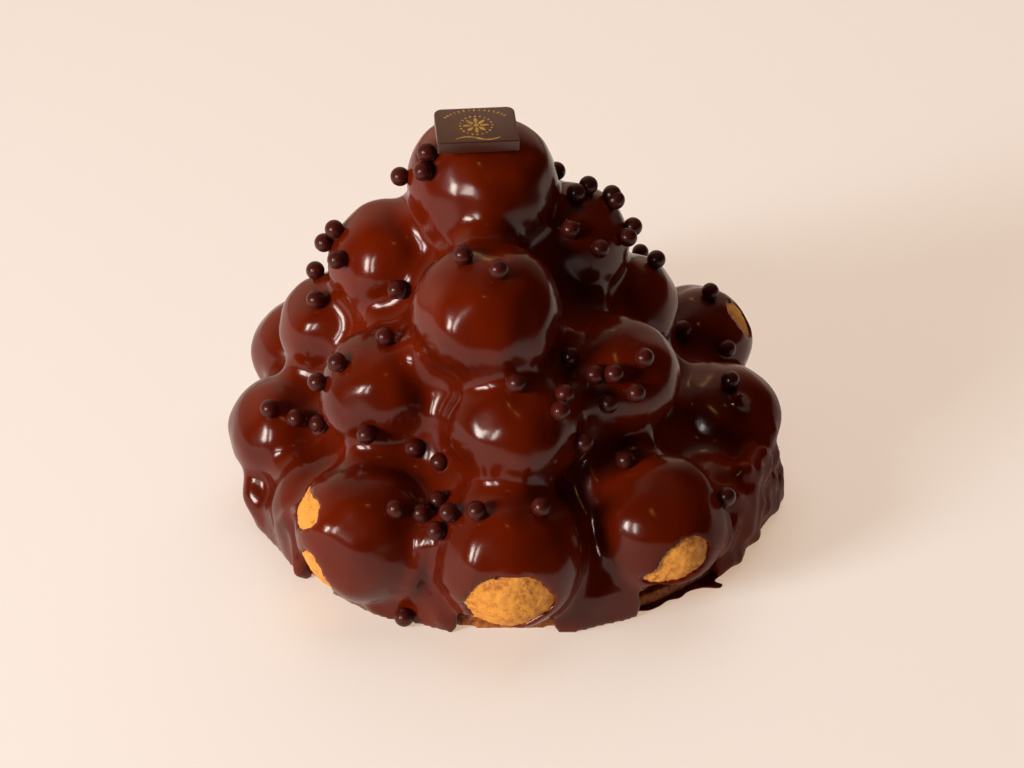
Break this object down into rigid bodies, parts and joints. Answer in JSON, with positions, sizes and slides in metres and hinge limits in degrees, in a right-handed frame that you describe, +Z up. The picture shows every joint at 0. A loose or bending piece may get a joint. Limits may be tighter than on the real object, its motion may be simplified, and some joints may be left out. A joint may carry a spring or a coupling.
{
  "type": "profiterole cake",
  "caption": "Mound of round choux buns on a thin sponge disc, under poured dark chocolate, with chocolate pearls and a plaque.",
  "frame": {"origin": "centre of the sponge disc's underside, on the surface that the cake stands on", "axes": "+Z up along the disc's axis, front towards -Y, +X to the right as seen from the front"},
  "size_m": [0.1558, 0.1693, 0.114],
  "materials": {
    "dark_chocolate": "gloss",
    "sponge": "matt, open crumb",
    "moulded_chocolate": "satin"
  },
  "bodies": {
    "root": {"chocolate_plaque": "moulded_chocolate", "poured_chocolate": "dark_chocolate", "profiterole_back": "dark_chocolate", "profiterole_back_left": "dark_chocolate", "profiterole_back_right": "dark_chocolate", "profiterole_front_centre": "dark_chocolate", "profiterole_front_left": "dark_chocolate", "profiterole_front_right": "dark_chocolate", "profiterole_left": "dark_chocolate", "profiterole_left_back": "dark_chocolate", "profiterole_right": "dark_chocolate", "profiterole_right_back": "dark_chocolate", "profiterole_second_back_left": "dark_chocolate", "profiterole_second_back_right": "dark_chocolate", "profiterole_second_front": "dark_chocolate", "profiterole_second_front_left": "dark_chocolate", "profiterole_second_front_right": "dark_chocolate", "profiterole_second_left": "dark_chocolate", "profiterole_second_right": "dark_chocolate", "profiterole_third_back": "dark_chocolate", "profiterole_third_front": "dark_chocolate", "profiterole_third_left": "dark_chocolate", "profiterole_third_right": "dark_chocolate", "profiterole_top": "dark_chocolate", "sponge_disc": "sponge"}
  },
  "joints": []
}
